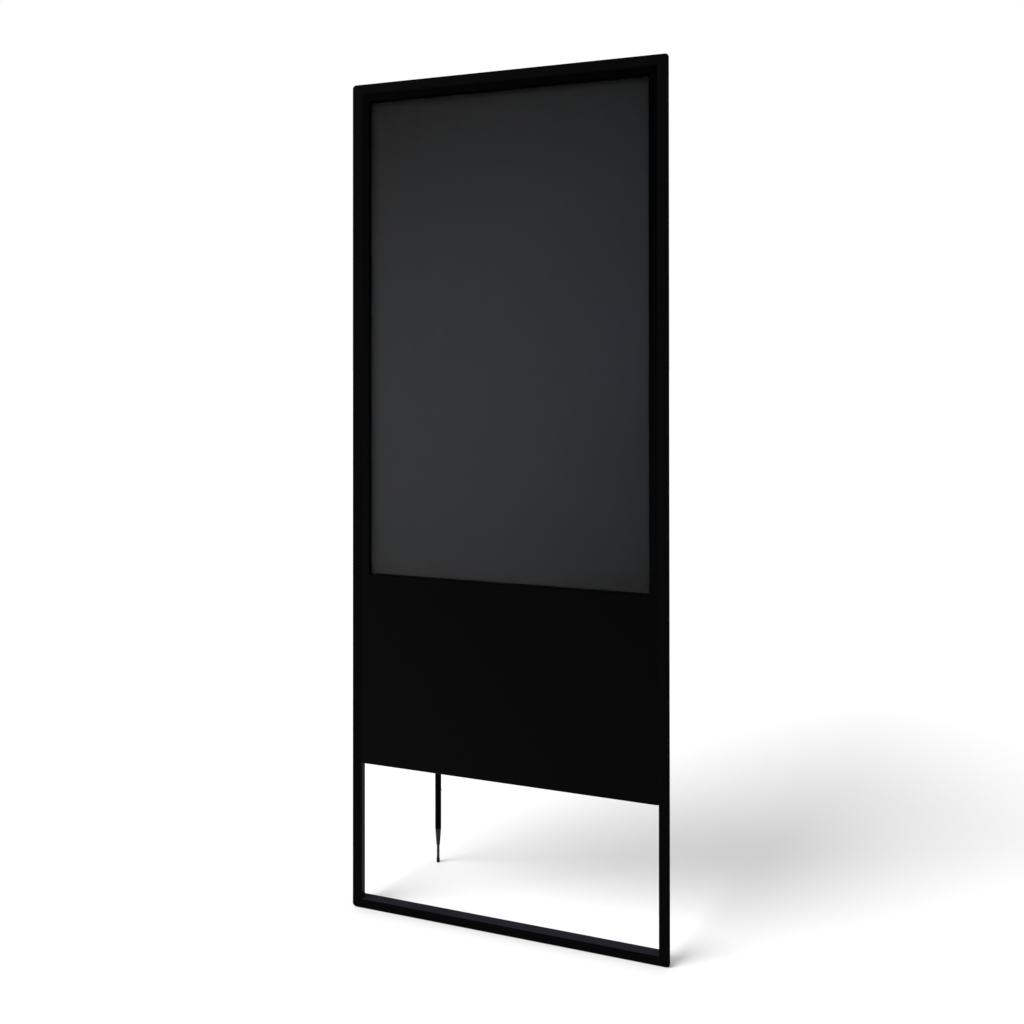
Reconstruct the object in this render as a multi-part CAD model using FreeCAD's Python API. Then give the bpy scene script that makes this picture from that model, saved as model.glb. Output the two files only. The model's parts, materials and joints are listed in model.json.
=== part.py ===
import FreeCAD, Part
import math
import os

# Touchscreen kiosk. Millimetres, +Z up, front towards -Y, X to the right as seen from the front.
# Every shape is built with y counted backwards from the front plane and x from the middle,
# and is moved at the end so that the origin is the centre of the base.

# ---- frame of square-edged tube
tube_face = 19.0
bar_face = 17.5
tube_depth = 21.5
tube_wall = 1.5
corner_radius = 7.0
edge_round = 0.7
window_height = 288.5      # floor to the panel's lower edge
pad_thickness = 1.2
pad_length = 80.0
pad_inset = 2.0

# ---- glass and screen
glass_thickness = 4.0
glass_recess = 0.2
glass_gap = 0.4
film_thickness = 0.3
tape_thickness = 1.0
tape_width = 9.0
carrier_thickness = 1.5
screen_width = 529.4       # active area of a 43-inch portrait display
screen_ratio = 16.0 / 9.0
screen_border = 35.3
screen_top_border = 35.5
apron_height = 377.8       # plain glass between the panel's lower edge and the display
screen_depth = 11.0        # front plane to the display surface
cell_thickness = 2.0
guide_thickness = 3.0
module_back = 26.5
module_margin = 8.0
bezel_sheet = 1.2
board_thickness = 1.6

# ---- sheet metal behind the screen and under it
sheet = 1.2
shell_inset = 24.0
flange_reach = 16.0
flange_thickness = 1.5
cover_back = 62.0
cabinet_back = 102.0
cabinet_gap = 3.0
rail_width = 40.0
rail_rise = 10.0
rail_spacing = 318.0
screen_rail_height = 26.0

# ---- vents
slot_width = 3.0
slot_length = 42.0
slot_pitch = 9.0
slot_count = 22
vent_inset = 45.0          # slots to the rear cover's lower edge, and 15 more at the top
grille_slots = 7           # in each round grille of the cabinet
fan_grille_radius = 26.0
fan_grille_pitch = 7.5
speaker_grille_radius = 25.0
speaker_grille_pitch = 7.0

# ---- service door, hinges and lock
door_left = 95.2           # middle of the kiosk to the free edge of the door opening
door_side_margin = 31.7    # side wall of the cabinet to the hinge edge of the opening
door_lap = 5.0
hinge_inset = 49.0
hinge_margin = 19.0
door_rim = 24.0
door_sheet = 1.6
door_gap = 0.4
hinge_radius = 3.5
hinge_pin_radius = 1.5
knuckle_length = 14.0
knuckle_gap = 0.4
lock_radius = 8.0
plug_radius = 5.5
cam_length = 30.0
cam_radius = 6.0
lock_depth = 16.0
stud_radius = 3.0

# ---- folding rear leg
pivot_side = 152.2
pivot_drop = 43.0
pivot_standoff = 13.0
foot_side = 176.0
foot_reach = 215.4
leg_diameter = 13.0
leg_wall = 1.2
rod_diameter = 6.0
ferrule_top = 83.0
rod_exposed = 43.0
guide_low = 122.0
guide_high = 207.0
clamp_height = 173.0
clamp_radius = 1.5
clamp_head_radius = 2.4
clamp_head_height = 0.9
clamp_slot = 0.7
tip_diameter = 6.8
tip_height = 10.0
head_width = 10.0
head_radius = 9.0
pin_radius = 3.0
ear_thickness = 2.5
bracket_plate = 2.5
bracket_half_width = 22.0
bracket_half_height = 32.0
bracket_screw_side = 16.0
bracket_screw_rise = 24.0
head_neck = 22.0           # pivot to the top of the leg's tube
plug_length = 14.0         # of the ferrule, inside the tube
ear_radius = 8.0

# ---- fits
run_fit = 0.05
seat_fit = 0.1
side_fit = 0.15

# ---- equipment in the cabinet: sizes, and heights above the cabinet's floor
plate_margin = 38.6
plate_screw_inset = 77.0
supply_width = 160.0
supply_height = 92.0
supply_depth = 38.0
supply_rise = 113.0
player_width = 188.0
player_height = 120.0
player_depth = 32.0
player_rise = 141.0
player_left = 22.0
board_width = 90.0
board_height = 50.0
board_rise = 229.0
equipment_gap = 8.0
fan_drop = 92.0
speaker_inset = 77.0
inlet_rise = 56.5
rocker_rise = 106.0
button_rise = 155.5

# ---- fasteners and small fittings
screw_radius = 1.9
screw_head_radius = 3.6
screw_head_height = 2.0
screw_length = 7.0
shell_screw_inset = 30.0
socket_radius = 1.6
fan_size = 60.0
fan_thickness = 15.0
fan_hub_radius = 12.0
rotor_hub_radius = 13.0
fan_arms = 3
fan_blades = 7
fan_post_radius = 2.0
speaker_radius = 30.0
magnet_radius = 19.0
inlet_half_depth = 13.5
inlet_half_height = 10.0
rocker_half_depth = 11.0
rocker_half_height = 8.0
rocker_pivot_inset = 3.0
button_sleeve = 1.5
button_radius = 7.0
rocker_radius = 8.0
rocker_width = 12.0
rocker_tilt = 9.0

# ---- sizes that follow from the ones above
screen_w = screen_width
screen_h = screen_width * screen_ratio
frame_width = screen_width + 2 * screen_border
frame_height = window_height + apron_height + screen_h + screen_top_border
half = frame_width / 2.0
base_z = pad_thickness
inner_half = half - tube_face
bar_top = base_z + bar_face
top_inner = frame_height - tube_face
panel_low = window_height
screen_top = frame_height - screen_top_border
screen_low = screen_top - screen_h
glass_front = glass_recess
glass_back = glass_front + glass_thickness
carrier_front = glass_back + tape_thickness
carrier_back = carrier_front + carrier_thickness
shell_half = half - shell_inset
cabinet_low = panel_low + 1.5
screen_rail_top = screen_low - module_margin - 2.0
screen_rail_low = screen_rail_top - screen_rail_height
cabinet_top = screen_rail_top - 13.0
cover_low = cabinet_top + cabinet_gap
cover_high = frame_height - 3.0
cabinet_h = cabinet_top - cabinet_low
cabinet_mid_y = (tube_depth + cabinet_back) / 2.0
screw_x = half - tube_face / 2.0 - 3.0
pivot_y = cabinet_back + pivot_standoff
pivot_z = cabinet_top - pivot_drop
splay = math.atan2(foot_side - pivot_side, pivot_z)
drop = math.hypot(foot_side - pivot_side, pivot_z)
lean = math.atan2(foot_reach - pivot_y, drop)
leg_length = math.hypot(drop, foot_reach - pivot_y)
door_x0 = -door_left
door_x1 = shell_half - door_side_margin
door_z0 = cabinet_low + door_rim
door_z1 = cabinet_top - door_rim
hinge_x = shell_half - hinge_margin
hinge_y = cabinet_back + door_gap + hinge_radius + 0.3
lock_x = door_x0 + 20.0
lock_z = (door_z0 + door_z1) / 2.0

UP = FreeCAD.Vector(0, 0, 1)
BACK = FreeCAD.Vector(0, 1, 0)
RIGHT = FreeCAD.Vector(1, 0, 0)


def vec(x, y, z):
    return FreeCAD.Vector(x, y, z)


def box(x0, x1, y0, y1, z0, z1):
    return Part.makeBox(x1 - x0, y1 - y0, z1 - z0, vec(x0, y0, z0))


def rod(radius, start, direction, length):
    return Part.makeCylinder(radius, length, start, direction)


def prism_xz(points, y0, y1):
    corners = [vec(x, y0, z) for x, z in points]
    corners.append(corners[0])
    face = Part.Face(Part.makePolygon(corners))
    return face.extrude(vec(0, y1 - y0, 0))


def plate_ring(x0, x1, z0, z1, width, y0, y1):
    outer = box(x0, x1, y0, y1, z0, z1)
    inner = box(x0 + width, x1 - width, y0 - 1, y1 + 1, z0 + width, z1 - width)
    return outer.cut(inner)


def upright_edges(shape, axis):
    found = []
    for edge in shape.Edges:
        size = edge.BoundBox
        spans = {"x": size.XLength, "y": size.YLength, "z": size.ZLength}
        others = [spans[name] for name in spans if name != axis]
        if max(others) < 1e-6 and spans[axis] > 1e-6:
            found.append(edge)
    return found


def rounded_box(x0, x1, y0, y1, z0, z1, axis, radius):
    shape = box(x0, x1, y0, y1, z0, z1)
    return shape.makeFillet(radius, upright_edges(shape, axis))


def screw(x, y, z, toward=-1):
    head = rod(screw_head_radius, vec(x, y, z), vec(0, -toward, 0), screw_head_height)
    shank = rod(screw_radius, vec(x, y, z), vec(0, toward, 0), screw_length)
    socket = rod(socket_radius, vec(x, y - toward * (screw_head_height + 1), z), vec(0, toward, 0), 2.2)
    return head.fuse(shank).cut(socket)


def screw_hole(x, y, z):
    return rod(screw_radius + seat_fit, vec(x, y - 12, z), BACK, 24)


# ---------------------------------------------------------------- frame
def frame_tubes():
    solid = rounded_box(-half, half, 0, tube_depth, base_z, frame_height, "y", corner_radius)
    solid = solid.cut(box(-inner_half, inner_half, -1, tube_depth + 1, bar_top, top_inner))
    rims = [e for e in solid.Edges if e.BoundBox.YLength < 1e-6]
    solid = solid.makeFillet(edge_round, rims)
    cavity_radius = corner_radius - tube_wall
    cavity = rounded_box(-half + tube_wall, half - tube_wall, tube_wall, tube_depth - tube_wall,
                         base_z + tube_wall, frame_height - tube_wall, "y", cavity_radius)
    core = box(-inner_half - tube_wall, inner_half + tube_wall, 0, tube_depth,
               bar_top - tube_wall, top_inner + tube_wall)
    solid = solid.cut(cavity.cut(core))
    for x, z in shell_screw_points():
        hole = rod(screw_radius + seat_fit, vec(x, tube_depth - tube_wall - 1, z), BACK, 5)
        solid = solid.cut(hole)
    out = 5.0
    run = bar_face + out
    left = [(-inner_half - run, bar_top - run), (-half - out, bar_top - run),
            (-half - out, frame_height + out), (-inner_half, top_inner), (-inner_half, bar_top)]
    right = [(-x, z) for x, z in left]
    top = [(-half - out, frame_height + out), (half + out, frame_height + out),
           (inner_half, top_inner), (-inner_half, top_inner)]
    low = [(-inner_half - run, bar_top - run), (inner_half + run, bar_top - run),
           (inner_half, bar_top), (-inner_half, bar_top)]
    parts = {}
    for name, points in (("left_post", left), ("right_post", right),
                         ("top_rail", top), ("bottom_bar", low)):
        parts[name] = solid.common(prism_xz(points, -5, tube_depth + 5))
    return parts


def cross_rail(z0, z1):
    edge = inner_half - seat_fit
    front = carrier_back + seat_fit
    shape = box(-edge, edge, front, tube_depth, z0, z1)
    hollow = box(-inner_half - 1, inner_half + 1, front + tube_wall, tube_depth - tube_wall,
                 z0 + tube_wall, z1 - tube_wall)
    return shape.cut(hollow)


def cross_rails():
    low = cross_rail(panel_low, panel_low + tube_face)
    high = cross_rail(screen_rail_low, screen_rail_top)
    for x, z in plate_screw_points():
        low = low.cut(rod(screw_radius + seat_fit, vec(x, tube_depth - 3, z), BACK, 6))
        high = high.cut(rod(screw_radius + seat_fit, vec(x, tube_depth - 3, z), BACK, 6))
    return {"apron_rail": low, "screen_rail": high}


def foot_pads():
    pads = []
    for side in (-1, 1):
        near = side * (half - corner_radius)
        far = side * (half - corner_radius - pad_length)
        pad = box(min(near, far), max(near, far), pad_inset, tube_depth - pad_inset, 0, base_z)
        pads.append(pad)
    return Part.makeCompound(pads)


# ---------------------------------------------------------------- glass and screen
def front_layers():
    edge = inner_half - glass_gap
    top = top_inner - glass_gap
    glass = rounded_box(-edge, edge, glass_front, glass_back, panel_low, top, "y", 1.5)
    tape = plate_ring(-edge + 2, edge - 2, panel_low + 2, top - 2, tape_width, glass_back, carrier_front)
    film_edge = screen_w / 2.0 + 3.0
    film = box(-film_edge, film_edge, glass_back, glass_back + film_thickness, screen_low - 3, screen_top + 3)
    carrier = box(-inner_half + seat_fit, inner_half - seat_fit, carrier_front, carrier_back,
                  panel_low, top_inner - seat_fit)
    view = box(-screen_w / 2.0 - 1, screen_w / 2.0 + 1, 0, 30, screen_low - 1, screen_top + 1)
    return {"touch_glass": glass, "glass_tape": tape, "touch_film": film, "carrier_plate": carrier.cut(view)}


def screen_module():
    hw = screen_w / 2.0 + module_margin
    z0 = screen_low - module_margin
    z1 = screen_top + module_margin
    lip_front = carrier_back + seat_fit
    lip_back = screen_depth - seat_fit
    bezel = box(-hw, hw, lip_front, screen_depth + 9, z0, z1)
    bezel = bezel.cut(box(-hw + bezel_sheet, hw - bezel_sheet, lip_back, 40,
                          z0 + bezel_sheet, z1 - bezel_sheet))
    bezel = bezel.cut(box(-screen_w / 2.0, screen_w / 2.0, 0, 40, screen_low, screen_top))
    e = bezel_sheet + seat_fit
    cell = box(-hw + e, hw - e, screen_depth, screen_depth + cell_thickness, z0 + e, z1 - e)
    g0 = screen_depth + cell_thickness + seat_fit
    g = e + bezel_sheet + seat_fit
    guide = box(-hw + g, hw - g, g0, g0 + guide_thickness, z0 + g, z1 - g)
    tray = box(-hw + e, hw - e, g0, module_back, z0 + e, z1 - e)
    tray = tray.cut(box(-hw + e + bezel_sheet, hw - e - bezel_sheet, g0 - 1, module_back - bezel_sheet,
                        z0 + e + bezel_sheet, z1 - e - bezel_sheet))
    mid = (screen_low + screen_top) / 2.0
    b0 = module_back + seat_fit
    board = box(-90, 90, b0 + 3, b0 + 3 + board_thickness, mid - 60, mid + 60)
    for x in (-80, 80):
        for z in (mid - 50, mid + 50):
            board = board.fuse(rod(3, vec(x, b0, z), BACK, 3))
    chips = Part.makeCompound([])
    for x, z, w, h, t in ((-40, 10, 28, 28, 3), (30, 25, 18, 18, 3),
                          (40, -30, 50, 8, 6), (-45, -38, 34, 9, 6)):
        y0 = b0 + 3 + board_thickness
        z0 = mid + z - h / 2.0
        chips = chips.fuse(box(x - w / 2.0, x + w / 2.0, y0, y0 + t, z0, z0 + h))
    return {"lcd_bezel": bezel, "lcd_cell": cell, "light_guide": guide, "lcd_tray": tray,
            "driver_board": board.fuse(chips).removeSplitter()}


def screen_mounts():
    y0 = module_back + seat_fit
    low = cover_low + sheet + 0.5
    high = frame_height - 6.0
    rails = []
    for side in (-1, 1):
        x0 = side * rail_spacing / 2.0 - rail_width / 2.0
        x1 = x0 + rail_width
        rail = box(x0, x1, y0, y0 + rail_rise, low, high)
        inner = box(x0 + 2, x1 - 2, y0 + 2, y0 + rail_rise + 1, low - 1, high + 1)
        rail = rail.cut(inner)
        for z0, z1 in ((low, screen_rail_top), (high - 12, high)):
            rail = rail.fuse(box(x0, x1, tube_depth + seat_fit, y0 + 2, z0, z1))
        rails.append(rail.removeSplitter())
    return Part.makeCompound(rails)


# ---------------------------------------------------------------- covers
def shell_screw_points():
    points = []
    cover_run = cover_high - cover_low - 2 * shell_screw_inset
    cabinet_run = cabinet_h - 2 * shell_screw_inset
    for side in (-1, 1):
        for k in range(5):
            points.append((side * screw_x, cover_low + shell_screw_inset + k * cover_run / 4.0))
        for k in range(3):
            points.append((side * screw_x, cabinet_low + shell_screw_inset + k * cabinet_run / 2.0))
    return points


def pan(z0, z1, back):
    shape = box(-shell_half, shell_half, tube_depth, back, z0, z1)
    shape = shape.makeFillet(3.0, upright_edges(shape, "z"))
    front = box(-shell_half, shell_half, tube_depth, tube_depth + 8, z0, z1)
    shape = shape.fuse(front).removeSplitter()
    inner = box(-shell_half + sheet, shell_half - sheet, tube_depth - 1, back - sheet,
                z0 + sheet, z1 - sheet)
    shape = shape.cut(inner)
    for side in (-1, 1):
        near = side * (shell_half - 0.5)
        far = side * (shell_half + flange_reach)
        shape = shape.fuse(box(min(near, far), max(near, far), tube_depth + seat_fit,
                               tube_depth + flange_thickness, z0, z1))
    shape = shape.removeSplitter()
    for x, z in shell_screw_points():
        if z0 < z < z1:
            shape = shape.cut(screw_hole(x, tube_depth, z))
    return shape


def slot_block(cx, z, y0, y1):
    cuts = []
    for k in range(slot_count):
        x = cx + (k - (slot_count - 1) / 2.0) * slot_pitch
        body = box(x - slot_width / 2.0, x + slot_width / 2.0, y0, y1, z, z + slot_length)
        cuts.append(body)
    return Part.makeCompound(cuts)


def rear_cover():
    shape = pan(cover_low, cover_high, cover_back)
    for z in (cover_low + vent_inset, cover_high - vent_inset - 15.0 - slot_length):
        for cx in (-shell_half / 2.0, shell_half / 2.0):
            shape = shape.cut(slot_block(cx, z, cover_back - 5, cover_back + 5))
    return shape


def grille_chords(radius, pitch):
    offsets = [(k - (grille_slots - 1) / 2.0) * pitch for k in range(grille_slots)]
    return [(offset, math.sqrt(radius ** 2 - offset ** 2)) for offset in offsets]


def cabinet():
    shape = pan(cabinet_low, cabinet_top, cabinet_back)
    shape = shape.cut(box(door_x0, door_x1, cabinet_back - 5, cabinet_back + 5, door_z0, door_z1))
    wall_x = shell_half - sheet
    fan_z = fan_centre()
    for offset, reach in grille_chords(fan_grille_radius, fan_grille_pitch):
        y = cabinet_mid_y + offset
        shape = shape.cut(box(-shell_half - 2, -wall_x + 2, y - slot_width / 2.0, y + slot_width / 2.0,
                              fan_z - reach, fan_z + reach))
    for cx in speaker_centres():
        for offset, reach in grille_chords(speaker_grille_radius, speaker_grille_pitch):
            x = cx + offset
            shape = shape.cut(box(x - slot_width / 2.0, x + slot_width / 2.0,
                                  cabinet_mid_y - reach, cabinet_mid_y + reach,
                                  cabinet_low - 2, cabinet_low + 3))
    for z, half_depth, half_height in ((inlet_centre(), inlet_half_depth, inlet_half_height),
                                       (rocker_centre(), rocker_half_depth, rocker_half_height)):
        across = half_depth + seat_fit
        up = half_height + seat_fit
        shape = shape.cut(box(wall_x - 2, shell_half + 2, cabinet_mid_y - across, cabinet_mid_y + across,
                              z - up, z + up))
    shape = shape.cut(rod(button_radius + button_sleeve + seat_fit,
                          vec(wall_x - 2, cabinet_mid_y, button_centre()), RIGHT, 6))
    for x, z in bracket_screw_points():
        shape = shape.cut(screw_hole(x, cabinet_back, z))
    return shape


def shell_screws():
    y = tube_depth + flange_thickness + 0.05
    cover = [screw(x, y, z) for x, z in shell_screw_points() if z > cabinet_top]
    low = [screw(x, y, z) for x, z in shell_screw_points() if z < cabinet_top]
    return {"cover_screws": Part.makeCompound(cover), "cabinet_screws": Part.makeCompound(low)}


# ---------------------------------------------------------------- inside the cabinet
def plate_screw_points():
    low = panel_low + tube_face / 2.0
    high = screen_rail_low + 6.0
    points = []
    for z in (low, high):
        for side in (-1, 1):
            points.append((side * (shell_half - plate_screw_inset), z))
    return points


def equipment():
    y0 = tube_depth + seat_fit
    y1 = y0 + 1.5
    w = shell_half - plate_margin
    low = cabinet_low + sheet + 1.0
    high = cabinet_top - sheet - 1.0
    plate = box(-w, w, y0, y1, low, high)
    for x, z in plate_screw_points():
        plate = plate.cut(screw_hole(x, y1, z))
    screws = [screw(x, y1 + 0.05, z) for x, z in plate_screw_points()]
    y2 = y1 + 0.1
    pz0 = cabinet_low + supply_rise
    pz1 = pz0 + supply_height
    px0 = -w + equipment_gap
    px1 = px0 + supply_width
    py1 = y2 + supply_depth
    supply = box(px0, px1, y2, py1, pz0, pz1)
    supply = supply.cut(box(px0 + 1, px1 - 1, y2 - 1, py1 - 1, pz0 + 1, pz1 - 1))
    for k in range(10):
        x = px0 + 20 + k * (px1 - px0 - 40) / 9.0
        supply = supply.cut(box(x - 1.5, x + 1.5, py1 - 8, py1 + 2, pz0 + 14, pz1 - 14))
    mz0 = cabinet_low + player_rise
    mz1 = mz0 + player_height
    mx0 = -player_left
    mx1 = mx0 + player_width
    my1 = y2 + player_depth
    player = rounded_box(mx0, mx1, y2, my1, mz0, mz1, "y", 4)
    player = player.cut(box(mx0 + 1.5, mx1 - 1.5, y2 - 1, my1 - 2, mz0 + 1.5, mz1 - 1.5))
    for k in range(12):
        z = mz0 + 16 + k * (mz1 - mz0 - 32) / 11.0
        player = player.cut(box(mx0 + 20, mx1 - 20, my1 - 1.2, my1 + 8, z - 1.5, z + 1.5))
    ch = board_height / 2.0
    cz = cabinet_low + board_rise + ch
    cx = (px0 + px1) / 2.0
    cw = board_width / 2.0
    board = box(cx - cw, cx + cw, y2 + 5, y2 + 5 + board_thickness, cz - ch, cz + ch)
    for x in (cx - cw + 5, cx + cw - 5):
        for z in (cz - ch + 5, cz + ch - 5):
            board = board.fuse(rod(2.5, vec(x, y2, z), BACK, 5))
    board = board.fuse(box(cx - 12, cx + 8, y2 + 6, y2 + 10, cz - 9, cz + 9)).removeSplitter()
    return {"equipment_plate": plate, "plate_screws": Part.makeCompound(screws),
            "power_supply": supply, "media_player": player, "touch_board": board}


def fan_centre():
    return cabinet_top - fan_drop


def fan():
    x0 = -shell_half + sheet + 0.2
    x1 = x0 + fan_thickness
    z = fan_centre()
    y = cabinet_mid_y
    r = fan_size / 2.0
    body = rounded_box(x0, x1, y - r, y + r, z - r, z + r, "x", 3)
    body = body.cut(rod(r - 2, vec(x0 - 1, y, z), RIGHT, fan_thickness + 2))
    hub = rod(fan_hub_radius, vec(x1 - 2.5, y, z), RIGHT, 2.5)
    for k in range(fan_arms):
        arm = box(x1 - 2.5, x1, y - 2, y + 2, z + 5, z + r - 1)
        arm.rotate(vec(0, y, z), RIGHT, 360.0 / fan_arms * k + 20)
        hub = hub.fuse(arm)
    body = body.fuse(hub).removeSplitter()
    post = rod(fan_post_radius, vec(x0 + 4, y, z), RIGHT, x1 - x0 - 4)
    body = body.fuse(post).removeSplitter()
    rotor = rod(rotor_hub_radius, vec(x0 + 1, y, z), RIGHT, fan_thickness - 4.5)
    blades = []
    for k in range(fan_blades):
        blade = box(x0 + 5.2, x0 + 6.6, y - 5.5, y + 5.5, z + 11, z + r - 3.2)
        blade.rotate(vec(x0 + 6, y, z + 20), UP, -38)
        blade.rotate(vec(0, y, z), RIGHT, 360.0 / fan_blades * k)
        blades.append(blade)
    for blade in blades:
        rotor = rotor.fuse(blade)
    rotor = rotor.cut(rod(fan_post_radius + run_fit, vec(x0 + 3.5, y, z), RIGHT, 30))
    return {"fan_frame": body, "fan_rotor": rotor.removeSplitter()}


def speaker_centres():
    return (-shell_half + speaker_inset, shell_half - speaker_inset)


def speakers():
    frames = []
    cones = []
    z0 = cabinet_low + sheet + 0.1
    y = cabinet_mid_y
    for x in speaker_centres():
        frame = rod(speaker_radius, vec(x, y, z0), UP, 2.5)
        frame = frame.fuse(Part.makeCone(speaker_radius - 3, 15, 16, vec(x, y, z0 + 2), UP))
        frame = frame.fuse(rod(magnet_radius, vec(x, y, z0 + 16), UP, 9))
        frame = frame.cut(Part.makeCone(speaker_radius - 4, 13, 14, vec(x, y, z0 - 0.01), UP))
        frames.append(frame.removeSplitter())
        cone = Part.makeCone(speaker_radius - 5.5, 11, 11.5, vec(x, y, z0 + 0.6), UP)
        cone = cone.cut(Part.makeCone(speaker_radius - 6.7, 9.8, 11.5, vec(x, y, z0 + 0.1), UP))
        cone = cone.fuse(rod(11, vec(x, y, z0 + 10.5), UP, 2))
        cones.append(cone.removeSplitter())
    return {"speaker_frames": Part.makeCompound(frames), "speaker_cones": Part.makeCompound(cones)}


# ---------------------------------------------------------------- controls on the cabinet's right side
def inlet_centre():
    return cabinet_low + inlet_rise


def rocker_centre():
    return cabinet_low + rocker_rise


def button_centre():
    return cabinet_low + button_rise


def controls():
    x1 = shell_half
    y = cabinet_mid_y
    z = inlet_centre()
    inlet = rounded_box(x1 + 0.05, x1 + 2.5, y - 16, y + 16, z - 12.5, z + 12.5, "x", 3)
    inlet = inlet.fuse(box(x1 - 24, x1 + 1, y - inlet_half_depth, y + inlet_half_depth,
                           z - inlet_half_height, z + inlet_half_height))
    inlet = inlet.cut(rounded_box(x1 - 16, x1 + 4, y - 12, y + 12, z - 8, z + 8, "x", 3))
    blades = []
    for dy, dz in ((-7, -1.5), (0, 2.0), (7, -1.5)):
        blades.append(box(x1 - 28, x1 - 5, y + dy - 1, y + dy + 1, z + dz - 2, z + dz + 2))
    blades = Part.makeCompound(blades)
    inlet = inlet.cut(blades)
    z = rocker_centre()
    hold = rounded_box(x1 + 0.05, x1 + 2.0, y - 14, y + 14, z - 10.5, z + 10.5, "x", 2)
    hold = hold.fuse(box(x1 - 16, x1 + 1, y - rocker_half_depth, y + rocker_half_depth,
                         z - rocker_half_height, z + rocker_half_height))
    pivot_x = x1 - rocker_pivot_inset
    side = rocker_width / 2.0 + side_fit
    sweep = rocker_radius + 0.4
    hold = hold.cut(rod(sweep, vec(pivot_x, y, z - side), UP, 2 * side))
    hold = hold.cut(box(x1 - 1.5, x1 + 5, y - sweep, y + sweep, z - side, z + side))
    hold = hold.fuse(rod(1.5, vec(pivot_x, y, z - side - 1), UP, 2 * side + 2)).removeSplitter()
    rocker = rod(rocker_radius, vec(pivot_x, y, z - rocker_width / 2.0), UP, rocker_width)
    for turn in (-rocker_tilt, rocker_tilt):
        near = y if turn < 0 else y - 30
        trim = box(pivot_x + 4.5, x1 + 30, near, near + 30, z - 20, z + 20)
        trim.rotate(vec(pivot_x + 4.5, y, z), UP, turn)
        rocker = rocker.cut(trim)
    rocker = rocker.cut(rod(1.5 + run_fit, vec(pivot_x, y, z - 20), UP, 40))
    rocker.rotate(vec(pivot_x, y, z), UP, rocker_tilt)
    z = button_centre()
    ring = rod(button_radius + 3.0, vec(x1 + 0.05, y, z), RIGHT, 1.8)
    ring = ring.fuse(rod(button_radius + button_sleeve, vec(x1 - 12, y, z), RIGHT, 13))
    ring = ring.cut(rod(button_radius + run_fit, vec(x1 - 10.5, y, z), RIGHT, 30)).removeSplitter()
    cap = rod(button_radius, vec(x1 - 5.0, y, z), RIGHT, 8.0)
    cap = cap.makeFillet(0.8, [e for e in cap.Edges if e.BoundBox.XMin > x1 + 2.9])
    stem = rod(2.5, vec(x1 - 8.0, y, z), RIGHT, 4.0)
    cap = cap.fuse(stem).removeSplitter()
    return {"power_inlet": inlet, "inlet_pins": blades, "rocker_housing": hold, "rocker": rocker,
            "button_housing": ring, "power_button": cap}


# ---------------------------------------------------------------- service door
def hinge_levels():
    return (door_z0 + hinge_inset, door_z1 - hinge_inset)


def door_set():
    y0 = cabinet_back + door_gap
    y1 = y0 + door_sheet
    edge = hinge_x - hinge_radius - 1.0
    door = box(door_x0 - door_lap, edge, y0, y1, door_z0 - door_lap, door_z1 + door_lap)
    door = door.makeFillet(3.0, [e for e in upright_edges(door, "y") if e.BoundBox.XMax < 0])
    door = door.cut(rod(lock_radius + seat_fit, vec(lock_x, y0 - 5, lock_z), BACK, 10))
    ribs_y = y0 - 8.0
    for z in (door_z0 + 8, door_z1 - 14):
        door = door.fuse(box(door_x0 + 45, door_x1 - 14, ribs_y, y0 + 0.5, z, z + 6))
    door = door.removeSplitter()
    span = knuckle_length * 3 + knuckle_gap * 2
    fixed = []
    moving = []
    pins = []
    for level in hinge_levels():
        z0 = level - span / 2.0
        leaf = box(hinge_x + hinge_radius + 0.5, shell_half - 3.5, cabinet_back + 0.05, cabinet_back + 1.5,
                   z0, z0 + span)
        for k in (0, 2):
            z = z0 + k * (knuckle_length + knuckle_gap)
            leaf = leaf.fuse(rod(hinge_radius, vec(hinge_x, hinge_y, z), UP, knuckle_length))
            reach = hinge_x + hinge_radius + 1
            leaf = leaf.fuse(box(hinge_x + 0.5, reach, hinge_y - hinge_radius + 0.1, hinge_y - 0.6,
                                 z, z + knuckle_length))
            leaf = leaf.fuse(box(hinge_x + hinge_radius - 0.6, reach, cabinet_back + 0.05, hinge_y - 0.6,
                                 z, z + knuckle_length))
        leaf = leaf.cut(rod(hinge_pin_radius + run_fit, vec(hinge_x, hinge_y, z0 - 1), UP, span + 2))
        fixed.append(leaf.removeSplitter())
        z = z0 + knuckle_length + knuckle_gap
        flap = rod(hinge_radius, vec(hinge_x, hinge_y, z), UP, knuckle_length)
        flap = flap.fuse(box(hinge_x - 24, hinge_x, y1 + 0.05, y1 + 1.5, z, z + knuckle_length))
        bore = rod(hinge_pin_radius + run_fit, vec(hinge_x, hinge_y, z - 1), UP, knuckle_length + 2)
        flap = flap.cut(bore)
        moving.append(flap.removeSplitter())
        pin = rod(hinge_pin_radius, vec(hinge_x, hinge_y, z0 - 0.2), UP, span + 0.4)
        pin = pin.fuse(rod(hinge_radius - 0.6, vec(hinge_x, hinge_y, z0 - 1.4), UP, 1.2))
        pin = pin.fuse(rod(hinge_radius - 0.6, vec(hinge_x, hinge_y, z0 + span + 0.2), UP, 1.2))
        pins.append(pin.removeSplitter())
    return {"service_door": door, "hinge_leaves": Part.makeCompound(fixed),
            "door_flaps": Part.makeCompound(moving), "hinge_pins": Part.makeCompound(pins)}


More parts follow.
